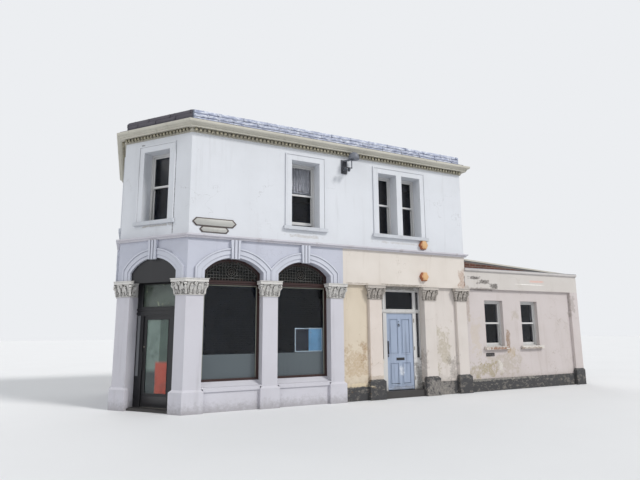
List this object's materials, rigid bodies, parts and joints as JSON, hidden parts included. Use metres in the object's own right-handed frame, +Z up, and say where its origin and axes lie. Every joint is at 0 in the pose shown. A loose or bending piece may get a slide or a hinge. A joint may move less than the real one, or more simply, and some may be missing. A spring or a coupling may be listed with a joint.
{
  "type": "corner shop building",
  "caption": "Two-storey rendered corner shop with a splayed corner entrance, arched shop windows, sash windows and a low annex; both street doors open.",
  "frame": {"origin": "at ground level on the arris where the splayed corner front meets the side-street front", "axes": "+X along the side-street front towards the annex, +Y into the building, +Z up"},
  "size_m": [14.5845, 5.9742, 7.01],
  "materials": {
    "render": "white-painted render and stucco on masonry, patchy and peeling low down",
    "cream_render": "cream and blush painted render with stains, peeled patches and a dark painted plinth",
    "carved_stone": "painted carved stone, dirty in its hollows",
    "dark_timber": "dark brown gloss-painted timber",
    "black_paint": "satin black paint",
    "white_joinery": "white gloss paint on joinery, slightly dirty",
    "blue_paint": "pale blue gloss paint on a panelled door, scuffed",
    "clear_glass": "clear window glass",
    "black_metal": "black metal",
    "lead": "weathered blue-grey lead sheet",
    "brick": "plain red brickwork",
    "floor_boards": "plain boarded floor",
    "dark_step": "dark worn stone step",
    "alarm_plastic": "sun-faded tan plastic"
  },
  "bodies": {
    "building": {"corner_pier": "render", "arcade_piers": "render", "main_pier": "render", "capitals": "carved_stone", "side_arcade": "render", "corner_arcade": "render", "main_arcade": "render", "arch_mouldings": "render", "stallrisers": "render", "shop_window_frames": "dark_timber", "shop_glass": "clear_glass", "corner_door_frame": "black_paint", "corner_sign_board": "black_paint", "side_wall_left": "cream_render", "side_wall_right": "cream_render", "side_frieze": "cream_render", "door_steps": "dark_step", "side_door_frame": "white_joinery", "string_course": "render", "upper_side_wall": "render", "upper_corner_wall": "render", "upper_main_wall": "render", "architraves": "render", "window_sills": "render", "sash_windows": "white_joinery", "window_glass": "clear_glass", "cornice": "carved_stone", "dentils": "carved_stone", "parapet": "lead", "roof_deck": "lead", "first_floor": "floor_boards", "ground_floor": "floor_boards", "end_wall": "render", "party_walls": "brick", "annex_front_wall": "cream_render", "annex_end_wall": "cream_render", "annex_coping": "cream_render", "annex_verge_wall": "brick", "annex_roof": "lead", "alarm_boxes": "alarm_plastic", "wall_lamp": "black_metal"},
    "corner_door_leaf": {"corner_door": "black_paint", "corner_door_glass": "clear_glass"},
    "side_door_leaf": {"side_door": "blue_paint", "side_door_furniture": "black_metal"}
  },
  "joints": [
    {"name": "corner_door_swing", "type": "hinge", "parent": "building", "child": "corner_door_leaf", "pos_m": [-0.12185, 0.70146, 0.06], "axis": [0, 0, -1], "range_deg": [0, 95]},
    {"name": "side_door_swing", "type": "hinge", "parent": "building", "child": "side_door_leaf", "pos_m": [6.38, 0.3, 0.18], "axis": [0, 0, -1], "range_deg": [0, 95]}
  ]
}
